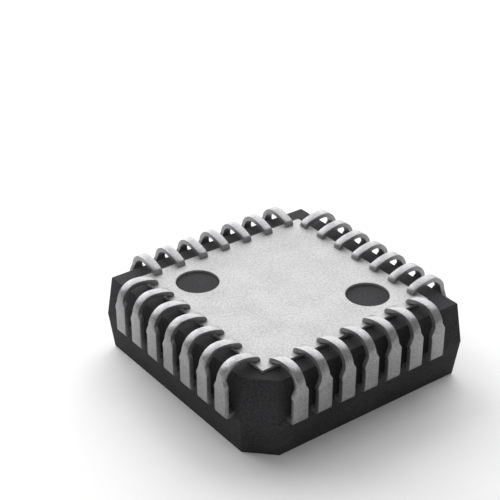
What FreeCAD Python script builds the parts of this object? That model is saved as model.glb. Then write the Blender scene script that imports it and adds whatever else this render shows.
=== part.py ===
import FreeCAD, Part
import math
import os

from FreeCAD import Rotation, Vector

# Square chip package with J-shaped leads on all four sides, lying on its marking face.
# Z = 0 is the marking face, and +Z points to the underside, where the bare metal plate is.
# The chamfered corner is at -X -Y. All sizes are in millimetres and degrees.

# Rows of leads
LEADS_PER_SIDE = 7
LEAD_PITCH = 1.27

# Moulded body
ROW_MARGIN = 1.93          # middle of the outermost leads to the edge of the parting plane
MARKING_HEIGHT = 1.80      # marking face to parting plane
UNDERSIDE_HEIGHT = 1.97    # parting plane to underside
DRAFT_ANGLE = 6.0          # of all four sides, both ways from the parting plane
INDEX_CHAMFER = 1.14       # cut of the -X -Y corner, along each side
INDEX_RADIUS = 0.40        # both upright edges of that cut in the underside half
RIM_RADIUS = 0.04          # rims of the marking face and of the underside

# Leads outside the body
LEAD_THICKNESS = 0.22
BLADE_WIDTH = 0.72         # wide part, from the body up to the neck
TIP_WIDTH = 0.42           # narrow part, from the neck to the tip
LEAD_STANDOFF = 0.47       # outer face of the blades beyond the edge of the parting plane
SHOULDER_RADIUS = 0.63     # inner radius where the J turns in over the body
ARM_RADIUS = 2.08          # inner radius of the long flat arc after the crest
ARM_ANGLE = 24.5
HOOK_RADIUS = 0.04         # inner radius of the last tight bend, down to the plate
HOOK_ANGLE = 43.5
TIP_LENGTH = 0.11          # straight outer face after the hook
TIP_CLEARANCE = 0.02       # cut ends above the bare plate, which they are parallel to

# Neck of the leads, where the dam bar was cut away
NECK_DROP = 0.72           # crest of the J to the top of the clean slope
CLEAN_SLOPE = 0.26         # height of the clean slope
BURR_SLOPE_DROP = 0.09     # top of the clean slope to the top of the slope with the burr
BURR_SLOPE = 0.37          # height of the slope with the burr
BURR_HEIGHT = 0.12
BURR_WIDTH = 0.035         # burr beyond the edge of the blade

# Fingers of the leads inside the compound
SHANK_LENGTH = 0.45        # full width, from the edge of the parting plane inwards
SHANK_TAPER = 0.25
FINGER_ROOT_WIDTH = 0.44
FINGER_TIP_WIDTH = 0.24
FINGER_GAP = 0.80          # edge of the die to the finger tips
FINGER_SPREAD = 0.15       # outermost finger tips beyond the corner of the die

# Heat spreader
PLATE_INSET = 1.11         # edge of the parting plane to the edge of the plate
PLATE_THICKNESS = 0.50
PLATE_PROUD = 0.12         # bare face above the underside of the compound
FLANGE_WIDTH = 0.25        # locking step round the buried side of the plate
FLANGE_THICKNESS = 0.16
HOLE_DIAMETER = 1.98
HOLE_INSET = 1.91          # middle of each hole to the two nearest edges of the plate
HOLE_DEPTH = 0.11          # bare face to the compound that fills the holes
SEAT_MARGIN = 0.35         # raised seat beyond each edge of the die

# Die, bond layer and wires
DIE_WIDTH = 3.00
DIE_THICKNESS = 0.30
DIE_ATTACH_THICKNESS = 0.03
PAD_INSET = 0.12           # pads from the edge of the die
PAD_CORNER_MARGIN = 0.42   # outermost pads from the corner of the die
WIRE_DIAMETER = 0.033
WIRE_FLATS = 4             # the section is a polygon
WIRE_DROP = 0.40           # face of the die to the kink of the wire
WIRE_SHOULDER = 0.25       # pad to the kink, sideways
STITCH_INSET = 0.15        # end of the wire from the finger tip

# Widths and heights that follow from the sizes above
BODY_WIDTH = (LEADS_PER_SIDE - 1) * LEAD_PITCH + 2 * ROW_MARGIN
HALF_BODY = BODY_WIDTH / 2
UNDERSIDE_Z = MARKING_HEIGHT + UNDERSIDE_HEIGHT
FRAME_LOW_Z = MARKING_HEIGHT
FRAME_HIGH_Z = FRAME_LOW_Z + LEAD_THICKNESS
PLATE_WIDTH = BODY_WIDTH - 2 * PLATE_INSET
PLATE_FACE_Z = UNDERSIDE_Z + PLATE_PROUD
PLATE_BACK_Z = PLATE_FACE_Z - PLATE_THICKNESS
DIE_BACK_Z = FRAME_HIGH_Z + DIE_THICKNESS
SEAT_Z = DIE_BACK_Z + DIE_ATTACH_THICKNESS
SHANK_END_X = -(HALF_BODY - SHANK_LENGTH)
FINGER_ROOT_X = SHANK_END_X + SHANK_TAPER
FINGER_TIP_X = -(DIE_WIDTH / 2 + FINGER_GAP)
LEAD_FACE_X = -(HALF_BODY + LEAD_STANDOFF)

# The crest of the J stands as high above the tip as its arm, hook and straight tip make it
END_ANGLE = math.radians(ARM_ANGLE + HOOK_ANGLE)
ARM_DROP = (ARM_RADIUS - HOOK_RADIUS) * (1 - math.cos(math.radians(ARM_ANGLE)))
HOOK_DROP = (HOOK_RADIUS + LEAD_THICKNESS) * (1 - math.cos(END_ANGLE))
CREST_Z = PLATE_FACE_Z + TIP_CLEARANCE + ARM_DROP + HOOK_DROP + TIP_LENGTH * math.sin(END_ANGLE)

# Sweeps meet in a mitre at a kink
MITRED = 1

# Turns about Z that take the leads of the -X side to each side, in the order of counting
SIDE_TURNS = (0.0, -90.0, 180.0, 90.0)


def square_block(width, z_low, z_high):
    """Square block centred on the Z axis."""
    corner = Vector(-width / 2, -width / 2, z_low)
    return Part.makeBox(width, width, z_high - z_low, corner)


def prism(points, direction):
    """Flat outline through the points, extruded along a vector."""
    outline = Part.makePolygon(points + points[:1])
    return Part.Face(outline).extrude(direction)


def turned(shape, degrees):
    """Copy of a shape turned about the Z axis."""
    copy = shape.copy()
    copy.rotate(Vector(0, 0, 0), Vector(0, 0, 1), degrees)
    return copy


# Body

def drafted_half(height, turn):
    """Half of the body, which narrows from the parting plane to its face, up or down by its turn about X."""
    face_half = HALF_BODY - height * math.tan(math.radians(DRAFT_ANGLE))
    half = Part.makeWedge(
        -HALF_BODY, 0, -HALF_BODY, -face_half, -face_half,
        HALF_BODY, height, HALF_BODY, face_half, face_half,
    )
    half.rotate(Vector(0, 0, 0), Vector(1, 0, 0), turn)
    half.translate(Vector(0, 0, MARKING_HEIGHT))
    return half


def index_edges(half, count):
    """The slanted edges of a drafted half that are nearest to the -X -Y corner."""
    slanted = [edge for edge in half.Edges if edge.BoundBox.ZLength > RIM_RADIUS]
    return sorted(slanted, key=lambda edge: edge.CenterOfMass.x + edge.CenterOfMass.y)[:count]


def softened(half, z_face):
    """The half with the rim of its face rounded."""
    rim = [edge for edge in half.Edges if abs(edge.CenterOfMass.z - z_face) < 1e-6]
    return half.makeFillet(RIM_RADIUS, rim)


def marking_half():
    half = drafted_half(MARKING_HEIGHT, -90.0)
    return softened(half.makeChamfer(INDEX_CHAMFER, index_edges(half, 1)), 0.0)


def underside_half():
    half = drafted_half(UNDERSIDE_HEIGHT, 90.0)
    half = half.makeChamfer(INDEX_CHAMFER, index_edges(half, 1))
    return softened(half.makeFillet(INDEX_RADIUS, index_edges(half, 2)), UNDERSIDE_Z)


def hole_columns(z_low, z_high):
    """Round columns at the two holes of the plate."""
    reach = PLATE_WIDTH / 2 - HOLE_INSET
    centres = [Vector(-reach, reach, z_low), Vector(reach, -reach, z_low)]
    return [Part.makeCylinder(HOLE_DIAMETER / 2, z_high - z_low, centre) for centre in centres]


def moulded_body(inserts):
    """Both halves in one, with the compound up in the holes of the plate and a fitting hollow for each insert."""
    fill_z = PLATE_FACE_Z - HOLE_DEPTH
    whole = marking_half().fuse([underside_half()] + hole_columns(PLATE_BACK_Z, fill_z))
    return whole.cut(inserts + hole_columns(fill_z, PLATE_FACE_Z)).removeSplitter()


# Heat spreader and die

def heat_spreader():
    """Plate with a locking step round its buried side, a raised seat for the die and two holes."""
    plate = square_block(PLATE_WIDTH, PLATE_BACK_Z, PLATE_FACE_Z)
    flange = square_block(PLATE_WIDTH + 2 * FLANGE_WIDTH, PLATE_BACK_Z, PLATE_BACK_Z + FLANGE_THICKNESS)
    seat = square_block(DIE_WIDTH + 2 * SEAT_MARGIN, SEAT_Z, PLATE_BACK_Z)
    solid = plate.fuse([flange, seat]).removeSplitter()
    return solid.cut(hole_columns(PLATE_BACK_Z, PLATE_FACE_Z))


def die():
    return square_block(DIE_WIDTH, FRAME_HIGH_Z, DIE_BACK_Z)


def die_attach():
    return square_block(DIE_WIDTH, DIE_BACK_Z, SEAT_Z)


# Leads

def on_arc(centre, radius, degrees):
    """Point of a circle in the XZ plane, with the angle counted from +Z towards +X."""
    angle = math.radians(degrees)
    return centre + Vector(radius * math.sin(angle), 0, radius * math.cos(angle))


def arc_edge(centre, radius, first, last):
    points = [on_arc(centre, radius, angle) for angle in (first, (first + last) / 2, last)]
    return Part.Arc(*points).toShape()


def lead_bends():
    """Centre, inner radius and end angles of each bend, from body to tip. The foot has a sharp inner corner."""
    foot = Vector(LEAD_FACE_X + LEAD_THICKNESS, 0, FRAME_HIGH_Z)
    shoulder_outer = SHOULDER_RADIUS + LEAD_THICKNESS
    shoulder = Vector(LEAD_FACE_X + shoulder_outer, 0, CREST_Z - shoulder_outer)
    arm = Vector(shoulder.x, 0, CREST_Z - ARM_RADIUS - LEAD_THICKNESS)
    hook = on_arc(arm, ARM_RADIUS - HOOK_RADIUS, ARM_ANGLE)
    return [
        (foot, 0.0, 180.0, 270.0),
        (shoulder, SHOULDER_RADIUS, -90.0, 0.0),
        (arm, ARM_RADIUS, 0.0, ARM_ANGLE),
        (hook, HOOK_RADIUS, ARM_ANGLE, ARM_ANGLE + HOOK_ANGLE),
    ]


def lead_face(start_z, depth):
    """One face of the bent strip in side view, with the depth counted from its inner face."""
    point = Vector(SHANK_END_X, 0, start_z)
    edges = []
    for centre, inner_radius, first, last in lead_bends():
        radius = inner_radius + depth
        arc_start = on_arc(centre, radius, first)
        if point.distanceToPoint(arc_start) > 1e-6:
            edges.append(Part.makeLine(point, arc_start))
        if radius > 0:
            edges.append(arc_edge(centre, radius, first, last))
        point = on_arc(centre, radius, last)
    return edges


def straight_tip():
    """The straight tip in side view, with its cut end parallel to the plate."""
    hook, inner_radius, _, last = lead_bends()[-1]
    inner_length = TIP_LENGTH - LEAD_THICKNESS / math.tan(END_ANGLE)
    outer_start = on_arc(hook, inner_radius + LEAD_THICKNESS, last)
    inner_start = on_arc(hook, inner_radius, last)
    outer_end = outer_start + on_arc(Vector(0, 0, 0), TIP_LENGTH, last + 90)
    inner_end = inner_start + on_arc(Vector(0, 0, 0), inner_length, last + 90)
    return Part.makePolygon([outer_start, outer_end, inner_end, inner_start]).Edges


def lead_strip():
    """The bent strip in its side view, wide enough for every part of the lead."""
    outer = lead_face(FRAME_LOW_Z, LEAD_THICKNESS)
    inner = lead_face(FRAME_HIGH_Z, 0.0)
    root = Part.makeLine(outer[0].firstVertex().Point, inner[0].firstVertex().Point)
    outline = Part.Wire(Part.sortEdges(outer + straight_tip() + inner + [root])[0])
    width = BLADE_WIDTH + 2 * BURR_WIDTH
    strip = Part.Face(outline).extrude(Vector(0, width, 0))
    strip.translate(Vector(0, -width / 2, 0))
    return strip


def front_outline():
    """Front view of a lead: wide blade, uneven neck with the burr on one edge, narrow J."""
    blade = BLADE_WIDTH / 2
    tip = TIP_WIDTH / 2
    clean_top = CREST_Z - NECK_DROP
    burr_slope_top = clean_top - BURR_SLOPE_DROP
    burr_top = burr_slope_top - BURR_SLOPE
    burr_low = burr_top - BURR_HEIGHT
    low = FRAME_LOW_Z - LEAD_THICKNESS
    high = CREST_Z + LEAD_THICKNESS
    outline = [
        (-blade, low),
        (-blade, clean_top - CLEAN_SLOPE),
        (-tip, clean_top),
        (-tip, high),
        (tip, high),
        (tip, burr_slope_top),
        (blade + BURR_WIDTH, burr_top),
        (blade + BURR_WIDTH, burr_low),
        (blade, burr_low - BURR_WIDTH),
        (blade, low),
    ]
    points = [Vector(LEAD_FACE_X - LEAD_THICKNESS, y, z) for y, z in outline]
    return prism(points, Vector(-LEAD_FACE_X, 0, 0))


def spread(index, half_span):
    """Place of one of a side's evenly spread features, from the middle of the side."""
    return (2 * index / (LEADS_PER_SIDE - 1) - 1) * half_span


def lead_place(index):
    return spread(index, (LEADS_PER_SIDE - 1) * LEAD_PITCH / 2)


def finger_place(index):
    return spread(index, DIE_WIDTH / 2 + FINGER_SPREAD)


def pad_place(index):
    return spread(index, DIE_WIDTH / 2 - PAD_CORNER_MARGIN)


def finger(index):
    """Flat part of a lead inside the compound, which leads in to the die."""
    stations = [
        (SHANK_END_X - SHANK_LENGTH / 2, lead_place(index), BLADE_WIDTH / 2),
        (SHANK_END_X, lead_place(index), BLADE_WIDTH / 2),
        (FINGER_ROOT_X, lead_place(index), FINGER_ROOT_WIDTH / 2),
        (FINGER_TIP_X, finger_place(index), FINGER_TIP_WIDTH / 2),
    ]
    far = [Vector(x, middle + half, FRAME_LOW_Z) for x, middle, half in stations]
    near = [Vector(x, middle - half, FRAME_LOW_Z) for x, middle, half in reversed(stations)]
    return prism(far + near, Vector(0, 0, LEAD_THICKNESS))


def side_leads():
    """All leads of the -X side, in the order of counting."""
    outside = lead_strip().common(front_outline())
    leads = []
    for index in range(LEADS_PER_SIDE):
        placed = outside.copy()
        placed.translate(Vector(0, lead_place(index), 0))
        leads.append(placed.fuse(finger(index)).removeSplitter())
    return leads


# Bond wires

def stitch_point(index):
    """End of a bond wire, in the middle of its slanted finger."""
    share = STITCH_INSET / (FINGER_TIP_X - FINGER_ROOT_X)
    place = finger_place(index) + (lead_place(index) - finger_place(index)) * share
    return Vector(FINGER_TIP_X - STITCH_INSET, place, FRAME_LOW_Z + WIRE_DIAMETER / 2)


def wire_section(centre, direction):
    """Section of a bond wire, with flat sides."""
    across = direction.cross(Vector(0, 0, 1)).normalize() * (WIRE_DIAMETER / 2)
    turns = [360 / WIRE_FLATS * count for count in range(WIRE_FLATS + 1)]
    return Part.makePolygon([centre + Rotation(direction, turn).multVec(across) for turn in turns])


def bond_wire(index, lead):
    """Kinked wire from a pad of the die to the marking side of a finger, trimmed to both."""
    pad = Vector(-(DIE_WIDTH / 2 - PAD_INSET), pad_place(index), FRAME_HIGH_Z + WIRE_DIAMETER / 2)
    stitch = stitch_point(index)
    outward = Vector(stitch.x - pad.x, stitch.y - pad.y, 0).normalize()
    kink = pad + outward * WIRE_SHOULDER - Vector(0, 0, WIRE_DROP)
    sweep = Part.BRepOffsetAPI.MakePipeShell(Part.makePolygon([pad, kink, stitch]))
    sweep.setTransitionMode(MITRED)
    sweep.add(wire_section(pad, kink - pad))
    sweep.build()
    sweep.makeSolid()
    return sweep.shape().cut([die(), lead])


def all_sides(side_shapes):
    """The shapes of the -X side and their copies on the other sides, in the order of counting."""
    return [turned(shape, turn) for turn in SIDE_TURNS for shape in side_shapes]


def lead_number(position):
    """Number of the lead at a position round the body, with the first in the middle of the -Y side."""
    before_corner = (LEADS_PER_SIDE + 1) // 2
    return (position + before_corner) % (len(SIDE_TURNS) * LEADS_PER_SIDE) + 1


def write(name, shape):
    shape.exportStep(f"parts/{name}.step")


def main():
    os.makedirs("parts", exist_ok=True)
    one_side = side_leads()
    leads = all_sides(one_side)
    wires = all_sides([bond_wire(index, lead) for index, lead in enumerate(one_side)])
    inside = {"heat_spreader": heat_spreader(), "die": die(), "die_attach": die_attach()}
    write("moulded_body", moulded_body(leads + wires + list(inside.values())))
    write("bond_wires", Part.makeCompound(wires))
    for name, shape in inside.items():
        write(name, shape)
    for position, lead in enumerate(leads):
        write(f"lead_{lead_number(position):02d}", lead)


main()
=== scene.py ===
import math

import bpy
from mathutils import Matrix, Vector


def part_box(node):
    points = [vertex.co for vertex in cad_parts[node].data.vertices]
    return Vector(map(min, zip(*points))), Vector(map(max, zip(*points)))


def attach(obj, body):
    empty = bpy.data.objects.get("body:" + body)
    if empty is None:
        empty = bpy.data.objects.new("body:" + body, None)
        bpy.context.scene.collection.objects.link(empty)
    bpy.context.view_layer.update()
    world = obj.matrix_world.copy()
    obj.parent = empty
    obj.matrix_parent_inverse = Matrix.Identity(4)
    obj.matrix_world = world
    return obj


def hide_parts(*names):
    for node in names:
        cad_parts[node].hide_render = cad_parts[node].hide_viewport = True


# Looks of a square chip package with J-shaped leads, lying on its marking face with the bare plate up.
# Sizes are in metres, written as millimetres times MM. The chamfered corner is at -X -Y.
MM = 0.001

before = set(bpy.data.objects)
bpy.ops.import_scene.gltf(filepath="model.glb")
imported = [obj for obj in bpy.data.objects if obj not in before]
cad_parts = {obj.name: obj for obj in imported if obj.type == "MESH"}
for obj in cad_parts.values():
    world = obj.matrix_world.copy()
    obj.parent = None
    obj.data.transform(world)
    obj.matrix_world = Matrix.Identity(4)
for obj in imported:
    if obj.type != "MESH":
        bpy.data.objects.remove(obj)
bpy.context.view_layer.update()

# Sizes of the leads, as the part has them
LEADS_PER_SIDE = 7
LEAD_PITCH = 1.27 * MM
LEAD_THICKNESS = 0.22 * MM
BLADE_HALF = 0.36 * MM
TIP_HALF = 0.21 * MM
SHOULDER_RADIUS = 0.63 * MM
ARM_RADIUS = 2.08 * MM
ARM_ANGLE = 24.5
HOOK_RADIUS = 0.04 * MM
HOOK_ANGLE = 43.5
TIP_LENGTH = 0.11 * MM
TIP_CLEARANCE = 0.02 * MM
NECK_DROP = 0.72 * MM
CLEAN_SLOPE = 0.26 * MM
BURR_SLOPE_DROP = 0.09 * MM
BURR_SLOPE = 0.37 * MM
BURR_HEIGHT = 0.12 * MM
BURR_WIDTH = 0.035 * MM
SHANK_LENGTH = 0.45 * MM
SHANK_TAPER = 0.25 * MM
FINGER_ROOT_HALF = 0.22 * MM
FINGER_TIP_HALF = 0.12 * MM
FINGER_GAP = 0.80 * MM
FINGER_SPREAD = 0.15 * MM
LEAD_STANDOFF = 0.47 * MM

# Steps of the spun bends, from the compound to the hook
FOOT_STEPS = 5
SHOULDER_STEPS = 10
ARM_STEPS = 6
HOOK_STEPS = 4
QUARTER_TURN = 90

# Softened edges: width, steps and the angle in degrees from which an edge gets one
LEAD_EDGE = 0.010 * MM
LEAD_EDGE_STEPS = 2
LEAD_EDGE_ANGLE = 62
PLATE_EDGE = 0.035 * MM
PLATE_EDGE_STEPS = 3
PLATE_EDGE_ANGLE = 50

# Angles in degrees up to which neighbouring faces are shaded as one smooth face
BODY_SMOOTH_ANGLE = 32
PLATE_SMOOTH_ANGLE = 35
LEAD_SMOOTH_ANGLE = 30

# Joining up of meshes: how close corners are to count as one, and how even a face is to count as flat
CAD_MERGE = 0.0005 * MM
LEAD_MERGE = 0.001 * MM
FLAT_ANGLE = 0.5

# Picking of corners by height: on the parting line, and clear of the level where a bend of the lead starts
PARTING_MARGIN = 0.001 * MM
BEND_MARGIN = 0.05 * MM

# Turns about Z that take the leads of the -X side to each side, in the order of counting
SIDE_TURNS = (0.0, -90.0, 180.0, 90.0)

# Places read from the parts of model.glb
_, body_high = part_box("moulded_body")
lead_low, lead_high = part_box("lead_01")
_, die_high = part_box("die")
_, plate_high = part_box("heat_spreader")
FRAME_LOW_Z = lead_low.z
FRAME_HIGH_Z = FRAME_LOW_Z + LEAD_THICKNESS
CREST_Z = lead_high.z
TIP_Z = plate_high.z + TIP_CLEARANCE
BODY_HALF = body_high.x
DIE_HALF = die_high.x
LEAD_FACE_X = -(BODY_HALF + LEAD_STANDOFF)
INNER_FACE_X = LEAD_FACE_X + LEAD_THICKNESS
SHOULDER_Z = CREST_Z - LEAD_THICKNESS - SHOULDER_RADIUS
FINGER_TIP_X = -(DIE_HALF + FINGER_GAP)
ROW_HALF = (LEADS_PER_SIDE - 1) / 2 * LEAD_PITCH

# Camera, with its lens and sensor in Blender's own millimetres
CAMERA_AZIMUTH = -126.79
CAMERA_ELEVATION = 30.0
CAMERA_DISTANCE = 61.97 * MM
CAMERA_LENS = 97.85
CAMERA_SENSOR = 36.0
CAMERA_NEAREST = 1 * MM
LOOK_AT = Vector((-0.18, 2.16, 4.91)) * MM

# Floor, and a surround that is brightest low behind the part. BRIGHT_EDGE is the cosine of the angle from
# its brightest place at which it has fallen to its dim level.
FLOOR_WIDTH = 2000 * MM
BRIGHT_AZIMUTH = 60.0
BRIGHT_ELEVATION = 4.0
BRIGHT_EDGE = 0.7
DIM_LIGHT = 0.38
BRIGHT_LIGHT = 3.2

# Square softboxes: azimuth, elevation, width and radiance
SOFTBOX_DISTANCE = 150 * MM
SOFTBOXES = {
    "key softbox": (100, 36, 140 * MM, 2.72),
    "side softbox": (24, 50, 120 * MM, 2.24),
}


# Selecting and finishing

def deselect():
    bpy.ops.object.select_all(action="DESELECT")


def only(piece):
    """Makes one piece the only selected one, and the active one."""
    deselect()
    piece.select_set(True)
    bpy.context.view_layer.objects.active = piece


def edit(piece):
    only(piece)
    bpy.ops.object.mode_set(mode="EDIT")


def leave_edit():
    bpy.ops.object.mode_set(mode="OBJECT")


def apply_place(piece):
    only(piece)
    bpy.ops.object.transform_apply(location=True, rotation=True, scale=True)


def finish_modifier(piece, kind, **settings):
    """Adds a modifier to a piece and applies it."""
    only(piece)
    bpy.ops.object.modifier_add(type=kind)
    modifier = piece.modifiers[-1]
    for name, value in settings.items():
        setattr(modifier, name, value)
    bpy.ops.object.modifier_apply(modifier=modifier.name)


def dress(piece, material, slot_name, *nodes):
    """Gives a new piece its material, hangs it under the root and hides the nodes that it stands for."""
    piece.data.materials.clear()
    piece.data.materials.append(material)
    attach(piece, "root")
    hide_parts(*nodes)


# Materials

def colour(hex_code):
    """sRGB hex value as linear red, green, blue and alpha."""
    channels = [int(hex_code[place:place + 2], 16) / 255 for place in (1, 3, 5)]
    linear = [c / 12.92 if c <= 0.04045 else ((c + 0.055) / 1.055) ** 2.4 for c in channels]
    return (*linear, 1.0)


def feed(tree, node, inputs):
    """Sets a node's inputs by name or number, and links those that get another node's output."""
    for name, value in inputs.items():
        if isinstance(value, bpy.types.NodeSocket):
            tree.links.new(value, node.inputs[name])
        else:
            node.inputs[name].default_value = value


def add_node(tree, kind, output, inputs=None, stops=(), **settings):
    """Adds a node with its inputs, colour stops and other settings, and returns the output that is used."""
    node = tree.nodes.new(kind)
    for name, value in settings.items():
        setattr(node, name, value)
    feed(tree, node, inputs or {})
    for number, (position, hex_code) in enumerate(stops):
        node.color_ramp.elements[number].position = position
        node.color_ramp.elements[number].color = colour(hex_code)
    return node.outputs[output]


def new_material(name):
    """A material with its nodes, its surface shader and its Object coordinates."""
    material = bpy.data.materials.new(name)
    material.use_nodes = True
    tree = material.node_tree
    return material, tree, tree.nodes["Principled BSDF"], add_node(tree, "ShaderNodeTexCoord", "Object")


def moulded_epoxy():
    """Silica-filled epoxy, moulded in a spark-eroded tool: dark grey and matte, with an even fine grain."""
    material, tree, shader, place = new_material("moulded epoxy")
    # The eroded grain, about 0.02 mm, is too fine to show, so it is drawn at 0.09 mm.
    grain = add_node(tree, "ShaderNodeTexNoise", "Fac",
                     {"Vector": place, "Scale": 1 / (0.09 * MM), "Detail": 3.0, "Roughness": 0.7})
    clouds = add_node(tree, "ShaderNodeTexNoise", "Fac", {"Vector": place, "Scale": 1 / (1.6 * MM)})
    mixed = add_node(tree, "ShaderNodeMix", "Result", {"Factor": 0.25, "A": grain, "B": clouds})
    tint = add_node(tree, "ShaderNodeValToRGB", "Color", {"Fac": mixed},
                    stops=[(0.36, "#1F1F21"), (0.66, "#3E3E40")])
    dullness = add_node(tree, "ShaderNodeMapRange", "Result", {"Value": grain, "To Min": 0.7, "To Max": 0.9})
    relief = add_node(tree, "ShaderNodeBump", "Normal",
                      {"Height": grain, "Distance": 0.02 * MM, "Strength": 1.0})
    feed(tree, shader, {"Base Color": tint, "Roughness": dullness, "Normal": relief,
                        "IOR": 1.45, "Specular IOR Level": 0.25})
    return material


def matte_tin():
    """Matte electroplated tin on stamped copper: a soft grey sheen, with fine grain and duller patches."""
    material, tree, shader, place = new_material("matte tin")
    # The tin crystals, under 0.01 mm, are too fine to show, so the grain is drawn at 0.08 mm.
    grain = add_node(tree, "ShaderNodeTexNoise", "Fac",
                     {"Vector": place, "Scale": 1 / (0.08 * MM), "Detail": 3.0, "Roughness": 0.7})
    patches = add_node(tree, "ShaderNodeTexNoise", "Fac", {"Vector": place, "Scale": 1 / (0.55 * MM)})
    mixed = add_node(tree, "ShaderNodeMix", "Result", {"Factor": 0.2, "A": grain, "B": patches})
    tint = add_node(tree, "ShaderNodeValToRGB", "Color", {"Fac": mixed},
                    stops=[(0.36, "#7E7E80"), (0.64, "#9E9E9F")])
    dullness = add_node(tree, "ShaderNodeMapRange", "Result",
                        {"Value": patches, "To Min": 0.32, "To Max": 0.38})
    relief = add_node(tree, "ShaderNodeBump", "Normal",
                      {"Height": grain, "Distance": 0.004 * MM, "Strength": 0.45})
    # The matte deposit scatters some of the light, so it isn't written as wholly metallic.
    feed(tree, shader, {"Base Color": tint, "Roughness": dullness, "Normal": relief, "Metallic": 0.7})
    return material


def satin_nickel():
    """Satin nickel plate on rolled copper: pale and even, with fine speckle and soft, faint clouds."""
    material, tree, shader, place = new_material("satin nickel")
    # The speckle of the plating, about 0.02 mm, is too fine to show, so it is drawn at 0.1 mm.
    speckle = add_node(tree, "ShaderNodeTexNoise", "Fac",
                       {"Vector": place, "Scale": 1 / (0.1 * MM), "Detail": 4.0, "Roughness": 0.75})
    clouds = add_node(tree, "ShaderNodeTexNoise", "Fac",
                      {"Vector": place, "Scale": 1 / (1.9 * MM), "Detail": 3.0})
    mixed = add_node(tree, "ShaderNodeMix", "Result", {"Factor": 0.25, "A": speckle, "B": clouds})
    tint = add_node(tree, "ShaderNodeValToRGB", "Color", {"Fac": mixed},
                    stops=[(0.36, "#8C8C8C"), (0.64, "#B5B5B5")])
    dullness = add_node(tree, "ShaderNodeMapRange", "Result",
                        {"Value": clouds, "To Min": 0.46, "To Max": 0.54})
    relief = add_node(tree, "ShaderNodeBump", "Normal",
                      {"Height": speckle, "Distance": 0.006 * MM, "Strength": 0.6})
    # The rough satin face scatters about half of the light, so it isn't written as wholly metallic.
    feed(tree, shader, {"Base Color": tint, "Roughness": dullness, "Normal": relief, "Metallic": 0.5})
    return material


def polished_silicon():
    """Sawn and polished silicon: dark grey with a bluish, nearly mirror-like face."""
    material, tree, shader, place = new_material("polished silicon")
    blotches = add_node(tree, "ShaderNodeTexNoise", "Fac", {"Vector": place, "Scale": 1 / (0.8 * MM)})
    tint = add_node(tree, "ShaderNodeValToRGB", "Color", {"Fac": blotches},
                    stops=[(0.3, "#55585F"), (0.7, "#5F636B")])
    dullness = add_node(tree, "ShaderNodeMapRange", "Result",
                        {"Value": blotches, "To Min": 0.12, "To Max": 0.2})
    feed(tree, shader, {"Base Color": tint, "Roughness": dullness, "Metallic": 1.0})
    return material


def silver_epoxy():
    """Silver-flake epoxy, dispensed and cured: pale grey and slightly lumpy."""
    material, tree, shader, place = new_material("silver epoxy")
    # The flakes, about 0.01 mm, are drawn at 0.06 mm, the size of the lumps that they form.
    flakes = add_node(tree, "ShaderNodeTexNoise", "Fac",
                      {"Vector": place, "Scale": 1 / (0.06 * MM), "Detail": 3.0})
    tint = add_node(tree, "ShaderNodeValToRGB", "Color", {"Fac": flakes},
                    stops=[(0.35, "#A7A6A3"), (0.65, "#C2C1BE")])
    relief = add_node(tree, "ShaderNodeBump", "Normal",
                      {"Height": flakes, "Distance": 0.01 * MM, "Strength": 0.7})
    feed(tree, shader, {"Base Color": tint, "Roughness": 0.5, "Normal": relief, "Metallic": 0.6})
    return material


def drawn_gold():
    """Drawn gold bond wire: warm, bright and smooth."""
    material, tree, shader, place = new_material("drawn gold")
    # Drawing marks are finer than the 0.02 mm at which they are drawn here, to show at all.
    marks = add_node(tree, "ShaderNodeTexNoise", "Fac", {"Vector": place, "Scale": 1 / (0.02 * MM)})
    tint = add_node(tree, "ShaderNodeValToRGB", "Color", {"Fac": marks},
                    stops=[(0.3, "#E3BC5C"), (0.7, "#EFCB71")])
    dullness = add_node(tree, "ShaderNodeMapRange", "Result", {"Value": marks, "To Min": 0.2, "To Max": 0.3})
    feed(tree, shader, {"Base Color": tint, "Roughness": dullness, "Metallic": 1.0})
    return material


def studio_white():
    """Matte white painted board: plain, so that the part's own shadow is all that shows on it."""
    material, tree, shader, place = new_material("studio white")
    mottle = add_node(tree, "ShaderNodeTexNoise", "Fac", {"Vector": place, "Scale": 1 / (3.0 * MM)})
    tint = add_node(tree, "ShaderNodeValToRGB", "Color", {"Fac": mottle},
                    stops=[(0.3, "#FAFAFA"), (0.7, "#FCFCFC")])
    feed(tree, shader, {"Base Color": tint, "Roughness": 1.0, "Specular IOR Level": 0.0})
    return material


# Moulded body and plate

def merged_copy(node, name):
    """A copy of a node's mesh with its triangles joined up and its flat faces made whole."""
    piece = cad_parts[node].copy()
    piece.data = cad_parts[node].data.copy()
    piece.name = name
    bpy.context.scene.collection.objects.link(piece)
    edit(piece)
    bpy.ops.mesh.select_all(action="SELECT")
    bpy.ops.mesh.remove_doubles(threshold=CAD_MERGE)
    bpy.ops.mesh.dissolve_limited(angle_limit=math.radians(FLAT_ANGLE))
    leave_edit()
    return piece


def moulded_body(material):
    """Both halves of the body, smooth over their rounds, with a crisp line at the parting plane.

    The parting plane is the lower face of the lead frame.
    """
    piece = merged_copy("moulded_body", "compound")
    edit(piece)
    bpy.ops.mesh.select_mode(type="EDGE")
    bpy.ops.mesh.select_all(action="DESELECT")
    leave_edit()
    for edge in piece.data.edges:
        ends = [piece.data.vertices[corner].co.z for corner in edge.vertices]
        edge.select = all(abs(z - FRAME_LOW_Z) < PARTING_MARGIN for z in ends)
    edit(piece)
    bpy.ops.mesh.mark_sharp()
    leave_edit()
    bpy.ops.object.shade_smooth_by_angle(angle=math.radians(BODY_SMOOTH_ANGLE), keep_sharp_edges=True)
    finish_modifier(piece, "WEIGHTED_NORMAL", keep_sharp=True)
    dress(piece, material, "moulding_compound", "moulded_body")


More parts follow.
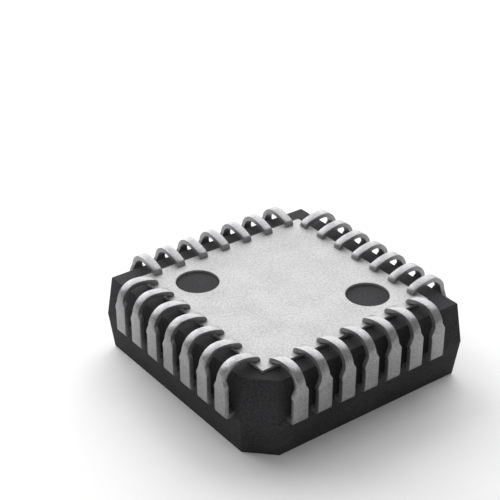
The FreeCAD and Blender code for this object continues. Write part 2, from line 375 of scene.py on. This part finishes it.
def bare_plate(material):
    """Heat spreader with its stamped edges and the rims of its two holes softened."""
    piece = merged_copy("heat_spreader", "bare_plate")
    finish_modifier(piece, "BEVEL", width=PLATE_EDGE, segments=PLATE_EDGE_STEPS, limit_method="ANGLE",
                    angle_limit=math.radians(PLATE_EDGE_ANGLE))
    bpy.ops.object.shade_smooth_by_angle(angle=math.radians(PLATE_SMOOTH_ANGLE))
    finish_modifier(piece, "WEIGHTED_NORMAL", keep_sharp=True)
    dress(piece, material, "nickel_plate", "heat_spreader")


# Leads

def lead_stations():
    """Places along the lead from finger tip to shoulder: x and z of its middle, and its two half widths.

    The first half width is on the edge with the clean slope, and the second on the edge with the burr.
    """
    middle_z = (FRAME_LOW_Z + FRAME_HIGH_Z) / 2
    blade_x = LEAD_FACE_X + LEAD_THICKNESS / 2
    shank_end = -(BODY_HALF - SHANK_LENGTH)
    clean_top = CREST_Z - NECK_DROP
    burr_slope_top = clean_top - BURR_SLOPE_DROP
    burr_top = burr_slope_top - BURR_SLOPE
    burr_low = burr_top - BURR_HEIGHT

    def clean(z):
        share = max(0.0, min(1.0, (clean_top - z) / CLEAN_SLOPE))
        return TIP_HALF + (BLADE_HALF - TIP_HALF) * share

    def burred(z):
        share = max(0.0, min(1.0, (burr_slope_top - z) / BURR_SLOPE))
        return TIP_HALF + (BLADE_HALF + BURR_WIDTH - TIP_HALF) * share

    flat = [
        (FINGER_TIP_X, middle_z, FINGER_TIP_HALF, FINGER_TIP_HALF),
        (shank_end + SHANK_TAPER, middle_z, FINGER_ROOT_HALF, FINGER_ROOT_HALF),
        (shank_end, middle_z, BLADE_HALF, BLADE_HALF),
        (INNER_FACE_X, middle_z, BLADE_HALF, BLADE_HALF),
    ]
    upright = [
        (blade_x, burr_low - BURR_WIDTH, BLADE_HALF, BLADE_HALF),
        (blade_x, burr_low, BLADE_HALF, BLADE_HALF + BURR_WIDTH),
        (blade_x, burr_top, BLADE_HALF, BLADE_HALF + BURR_WIDTH),
        (blade_x, clean_top - CLEAN_SLOPE, BLADE_HALF, burred(clean_top - CLEAN_SLOPE)),
        (blade_x, SHOULDER_Z, clean(SHOULDER_Z), burred(SHOULDER_Z)),
    ]
    return flat, upright


def extrude_to(station, last):
    """Extrudes the end face of the lead from the last station to the next, and gives it its width there."""
    x, z, clean_half, burr_half = station
    last_x, last_z, last_clean, last_burr = last
    middle = Vector((x, (last_burr - last_clean) / 2, z))
    width_ratio = (clean_half + burr_half) / (last_clean + last_burr)
    shift = (burr_half - clean_half - last_burr + last_clean) / 2
    bpy.ops.mesh.extrude_region_move(TRANSFORM_OT_translate={"value": (x - last_x, 0, z - last_z)})
    bpy.ops.transform.resize(value=(1, width_ratio, 1), center_override=middle)
    bpy.ops.transform.translate(value=(0, shift, 0))


def spin_end(steps, degrees, centre):
    """Spins the end face of the lead in towards the middle of the body."""
    bpy.ops.mesh.spin(steps=steps, angle=math.radians(degrees), center=centre, axis=(0, -1, 0))


def start_lead(station):
    """Section of the finger at its tip, selected in edit mode."""
    x, z, half, _ = station
    deselect()
    bpy.ops.mesh.primitive_plane_add(size=1, location=(x, 0, z), rotation=(0, math.radians(90), 0))
    lead = bpy.context.active_object
    lead.scale = (LEAD_THICKNESS, 2 * half, 1)
    apply_place(lead)
    edit(lead)
    bpy.ops.mesh.select_all(action="SELECT")
    return lead


def model_lead():
    """One lead of the -X side, at the middle of it, from its finger inside the compound to its cut tip."""
    flat, upright = lead_stations()
    lead = start_lead(flat[0])
    for last, station in zip(flat, flat[1:]):
        extrude_to(station, last)
    spin_end(FOOT_STEPS, QUARTER_TURN, (INNER_FACE_X, 0, FRAME_HIGH_Z))
    foot = (upright[0][0], FRAME_HIGH_Z, BLADE_HALF, BLADE_HALF)
    for last, station in zip([foot] + upright, upright):
        extrude_to(station, last)
    shoulder_x = INNER_FACE_X + SHOULDER_RADIUS
    spin_end(SHOULDER_STEPS, QUARTER_TURN, (shoulder_x, 0, SHOULDER_Z))
    arm_z = CREST_Z - LEAD_THICKNESS - ARM_RADIUS
    spin_end(ARM_STEPS, ARM_ANGLE, (shoulder_x, 0, arm_z))
    turn = math.radians(ARM_ANGLE)
    reach = ARM_RADIUS - HOOK_RADIUS
    hook_centre = (shoulder_x + reach * math.sin(turn), 0, arm_z + reach * math.cos(turn))
    spin_end(HOOK_STEPS, HOOK_ANGLE, hook_centre)
    straight_tip(lead)
    narrow_above_neck(lead)
    close_lead(lead)
    return lead


def straight_tip(lead):
    """The short straight end after the hook, cut off parallel to the plate."""
    slope = math.radians(ARM_ANGLE + HOOK_ANGLE)
    along = Vector((math.cos(slope), 0, -math.sin(slope)))
    bpy.ops.mesh.extrude_region_move(TRANSFORM_OT_translate={"value": along * TIP_LENGTH})
    leave_edit()
    for vertex in lead.data.vertices:
        if vertex.select:
            vertex.co += along * (vertex.co.z - TIP_Z) / math.sin(slope)


def narrow_above_neck(lead):
    """Brings both edges of the J in to its narrow width, from the first step of the shoulder to the tip.

    The spin carries the section from the foot of the shoulder on to the tip, before the neck has narrowed.
    """
    for vertex in lead.data.vertices:
        if vertex.co.z > SHOULDER_Z + BEND_MARGIN:
            vertex.co.y = math.copysign(TIP_HALF, vertex.co.y)


def close_lead(lead):
    """Joins the corner of the foot, turns the faces outwards and softens every sheared edge."""
    edit(lead)
    bpy.ops.mesh.select_all(action="SELECT")
    bpy.ops.mesh.remove_doubles(threshold=LEAD_MERGE)
    bpy.ops.mesh.normals_make_consistent(inside=False)
    leave_edit()
    finish_modifier(lead, "BEVEL", width=LEAD_EDGE, segments=LEAD_EDGE_STEPS, limit_method="ANGLE",
                    angle_limit=math.radians(LEAD_EDGE_ANGLE))
    bpy.ops.object.shade_smooth_by_angle(angle=math.radians(LEAD_SMOOTH_ANGLE))
    finish_modifier(lead, "WEIGHTED_NORMAL", keep_sharp=True)


def place_between(index, half_span):
    """Place of one of a side's evenly spread features, from the middle of the side."""
    return (2 * index / (LEADS_PER_SIDE - 1) - 1) * half_span


def splay_finger(lead, index):
    """Slants the finger inside the compound towards its place by the die."""
    root_x = -(BODY_HALF - SHANK_LENGTH - SHANK_TAPER)
    sideways = place_between(index, DIE_HALF + FINGER_SPREAD) - place_between(index, ROW_HALF)
    for vertex in lead.data.vertices:
        share = (vertex.co.x - root_x) / (FINGER_TIP_X - root_x)
        if share > 0 and vertex.co.z < FRAME_HIGH_Z + BEND_MARGIN:
            vertex.co.y += sideways * share


def lead_number(position):
    """Number of the lead at a position round the body, with the first in the middle of the -Y side."""
    before_corner = (LEADS_PER_SIDE + 1) // 2
    return (position + before_corner) % (len(SIDE_TURNS) * LEADS_PER_SIDE) + 1


def all_leads(material):
    """A copy of the lead at every place on the four sides, each with its finger slanted towards the die."""
    model = model_lead()
    for position in range(len(SIDE_TURNS) * LEADS_PER_SIDE):
        side, index = divmod(position, LEADS_PER_SIDE)
        name = f"lead_{lead_number(position):02d}"
        lead = model.copy()
        lead.data = model.data.copy()
        lead.name = f"j_{name}"
        bpy.context.scene.collection.objects.link(lead)
        splay_finger(lead, index)
        lead.location.y = place_between(index, ROW_HALF)
        apply_place(lead)
        lead.rotation_euler.z = math.radians(SIDE_TURNS[side])
        apply_place(lead)
        dress(lead, material, "tin_plate", name)
    only(model)
    bpy.ops.object.delete()


# Pieces inside the compound

def dress_inside():
    """The pieces that the compound hides keep their own shapes, each with its own finish."""
    finishes = {"die": polished_silicon(), "die_attach": silver_epoxy(), "bond_wires": drawn_gold()}
    for node, material in finishes.items():
        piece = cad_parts[node]
        piece.data.materials.clear()
        piece.data.materials.append(material)


# Floor, lights and camera

def floor():
    deselect()
    bpy.ops.mesh.primitive_plane_add(size=FLOOR_WIDTH, location=(0, 0, 0))
    board = bpy.context.active_object
    board.name = "floor"
    board.data.materials.append(studio_white())


def direction(azimuth, elevation):
    """Unit vector up and round from the middle of the part. Azimuth 0 is +X, and 90 is +Y."""
    turn = math.radians(azimuth)
    rise = math.radians(elevation)
    return Vector((math.cos(turn) * math.cos(rise), math.sin(turn) * math.cos(rise), math.sin(rise)))


def softbox(name, azimuth, elevation, width, radiance):
    """Square light that faces the part, as bright as a white sheet of this radiance."""
    towards = direction(azimuth, elevation)
    bpy.ops.object.light_add(type="AREA", location=towards * SOFTBOX_DISTANCE)
    lamp = bpy.context.active_object
    lamp.name = name
    lamp.rotation_euler = towards.to_track_quat("Z", "Y").to_euler()
    lamp.data.size = width
    lamp.data.energy = radiance * math.pi * width ** 2


def lights():
    """Soft studio light: a surround that is brightest low behind the part, and the softboxes."""
    world = bpy.data.worlds.new("studio")
    world.use_nodes = True
    bpy.context.scene.world = world
    tree = world.node_tree
    way = add_node(tree, "ShaderNodeTexCoord", "Generated")
    nearness = add_node(tree, "ShaderNodeVectorMath", "Value",
                        {0: way, 1: direction(BRIGHT_AZIMUTH, BRIGHT_ELEVATION)}, operation="DOT_PRODUCT")
    level = add_node(tree, "ShaderNodeMapRange", "Result",
                     {"Value": nearness, "From Min": BRIGHT_EDGE, "From Max": 1.0,
                      "To Min": DIM_LIGHT, "To Max": BRIGHT_LIGHT}, interpolation_type="SMOOTHSTEP")
    feed(tree, tree.nodes["Background"], {"Color": (1, 1, 1, 1), "Strength": level})
    for name, settings in SOFTBOXES.items():
        softbox(name, *settings)


def camera():
    """Camera at the photograph's angle: its place is CAMERA_DISTANCE from the point that it looks at."""
    towards = direction(CAMERA_AZIMUTH, CAMERA_ELEVATION)
    bpy.ops.object.camera_add(location=LOOK_AT + towards * CAMERA_DISTANCE)
    view = bpy.context.active_object
    view.rotation_euler = towards.to_track_quat("Z", "Y").to_euler()
    view.data.lens = CAMERA_LENS
    view.data.sensor_width = CAMERA_SENSOR
    view.data.clip_start = CAMERA_NEAREST
    bpy.context.scene.camera = view


def main():
    moulded_body(moulded_epoxy())
    bare_plate(satin_nickel())
    all_leads(matte_tin())
    dress_inside()
    floor()
    lights()
    camera()
    bpy.context.scene.view_settings.view_transform = "Standard"


main()
